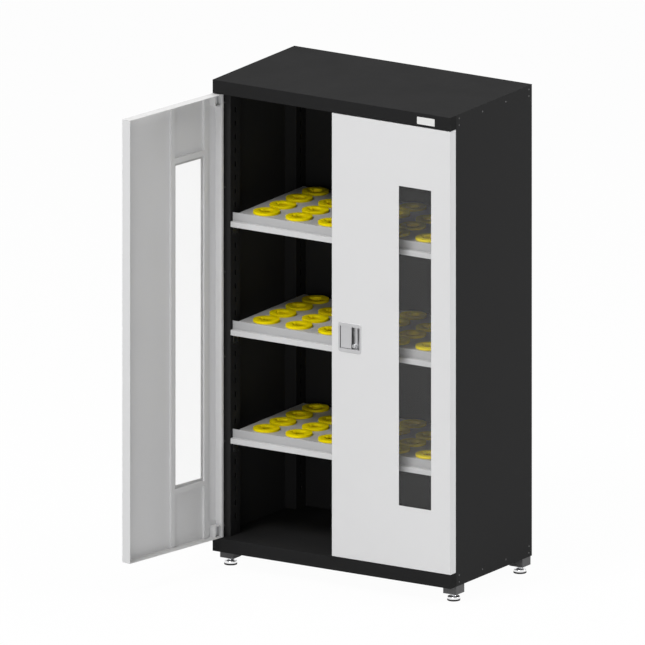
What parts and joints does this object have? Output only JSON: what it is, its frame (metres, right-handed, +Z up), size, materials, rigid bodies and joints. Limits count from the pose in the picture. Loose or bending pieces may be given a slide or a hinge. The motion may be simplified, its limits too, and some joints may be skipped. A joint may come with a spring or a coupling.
{
  "type": "tool holder storage cabinet",
  "caption": "Tall steel cabinet with two windowed swing doors, hung trays of round sockets for taper-shank tools, a paddle latch with lock rods, and levelling feet.",
  "frame": {"origin": "on the floor, midway between the four levelling feet", "axes": "+Z up; +X to the right as one faces the doors; +Y from the doors to the back panel"},
  "size_m": [1.0876, 1.0251, 1.8],
  "materials": {
    "carcass_paint": "fine powder coat, satin",
    "door_paint": "fine powder coat, satin",
    "tray_paint": "fine powder coat, satin",
    "socket_plastic": "moulded, matte",
    "clear_pane": "clear, polished",
    "foam_tape": "closed-cell foam",
    "white_nylon": "moulded",
    "zinc_steel": "bright zinc plating",
    "latch_plating": "satin chrome",
    "plated_steel": "bright plating",
    "rubber_sole": "moulded rubber"
  },
  "bodies": {
    "cabinet": {"back_panel": "carcass_paint", "base_pan": "carcass_paint", "foot_locknuts": "plated_steel", "frame_clips_bottom": "zinc_steel", "frame_clips_middle": "zinc_steel", "frame_clips_top": "zinc_steel", "leg_front_left": "carcass_paint", "leg_front_right": "carcass_paint", "leg_rear_left": "carcass_paint", "leg_rear_right": "carcass_paint", "pivot_pins_left": "zinc_steel", "pivot_pins_right": "zinc_steel", "side_panel_left": "carcass_paint", "side_panel_right": "carcass_paint", "socket_tray_bottom": "tray_paint", "socket_tray_middle": "tray_paint", "socket_tray_top": "tray_paint", "tool_sockets_bottom": "socket_plastic", "tool_sockets_middle": "socket_plastic", "tool_sockets_top": "socket_plastic", "top_cover": "carcass_paint", "tray_frame_bottom": "tray_paint", "tray_frame_middle": "tray_paint", "tray_frame_top": "tray_paint", "upright_front_left": "carcass_paint", "upright_front_right": "carcass_paint", "upright_rear_left": "carcass_paint", "upright_rear_right": "carcass_paint"},
    "left_door": {"left_door_glass": "clear_pane", "left_door_glass_tape": "foam_tape", "left_door_hinge_brackets": "door_paint", "left_door_pan": "door_paint", "left_door_pivot_bushes": "white_nylon", "left_door_stiffeners": "door_paint"},
    "right_door": {"latch_dish": "latch_plating", "lock_case": "zinc_steel", "lock_rod_guides": "white_nylon", "paddle_pin": "zinc_steel", "right_door_glass": "clear_pane", "right_door_glass_tape": "foam_tape", "right_door_hinge_brackets": "door_paint", "right_door_pan": "door_paint", "right_door_pivot_bushes": "white_nylon", "right_door_stiffeners": "door_paint"},
    "latch_paddle": {"latch_paddle": "latch_plating"},
    "lock_key": {"key_barrel": "latch_plating", "lock_pinion": "zinc_steel"},
    "lock_rod_top": {"lock_rod_top": "zinc_steel"},
    "lock_rod_bottom": {"lock_rod_bottom": "zinc_steel"},
    "foot_front_left": {"foot_front_left": "plated_steel", "foot_sole_front_left": "rubber_sole"},
    "foot_front_right": {"foot_front_right": "plated_steel", "foot_sole_front_right": "rubber_sole"},
    "foot_rear_left": {"foot_rear_left": "plated_steel", "foot_sole_rear_left": "rubber_sole"},
    "foot_rear_right": {"foot_rear_right": "plated_steel", "foot_sole_rear_right": "rubber_sole"}
  },
  "joints": [
    {"name": "left_door_hinge", "type": "hinge", "parent": "cabinet", "child": "left_door", "pos_m": [-0.491, -0.283, 0.93], "axis": [0, 0, 1], "range_deg": [-80, 100]},
    {"name": "right_door_hinge", "type": "hinge", "parent": "cabinet", "child": "right_door", "pos_m": [0.491, -0.283, 0.93], "axis": [0, 0, 1], "range_deg": [0, 180]},
    {"name": "latch_paddle_hinge", "type": "hinge", "parent": "right_door", "child": "latch_paddle", "pos_m": [0.0392, -0.2912, 0.9278], "axis": [0, 0, -1], "range_deg": [0, 40], "stiffness_Nm_per_rad": 0.05, "springref_deg": -11.46},
    {"name": "key_turn", "type": "hinge", "parent": "right_door", "child": "lock_key", "pos_m": [0.0896, -0.2775, 0.897], "axis": [0, 1, 0], "range_deg": [0, 90]},
    {"name": "lock_rod_top_slide", "type": "slide", "parent": "right_door", "child": "lock_rod_top", "axis": [0, 0, 1], "range_m": [0, 0.01413]},
    {"name": "lock_rod_bottom_slide", "type": "slide", "parent": "right_door", "child": "lock_rod_bottom", "axis": [0, 0, -1], "range_m": [0, 0.01413]},
    {"name": "foot_front_left_screw", "type": "slide", "parent": "cabinet", "child": "foot_front_left", "axis": [0, 0, -1], "range_m": [0, 0.012]},
    {"name": "foot_front_right_screw", "type": "slide", "parent": "cabinet", "child": "foot_front_right", "axis": [0, 0, -1], "range_m": [0, 0.012]},
    {"name": "foot_rear_left_screw", "type": "slide", "parent": "cabinet", "child": "foot_rear_left", "axis": [0, 0, -1], "range_m": [0, 0.012]},
    {"name": "foot_rear_right_screw", "type": "slide", "parent": "cabinet", "child": "foot_rear_right", "axis": [0, 0, -1], "range_m": [0, 0.012]}
  ],
  "couplings": [
    {"joint": "key_turn", "follows": "lock_rod_bottom_slide", "rad_per_m": 111.11},
    {"joint": "lock_rod_top_slide", "follows": "lock_rod_bottom_slide", "ratio": 1}
  ]
}
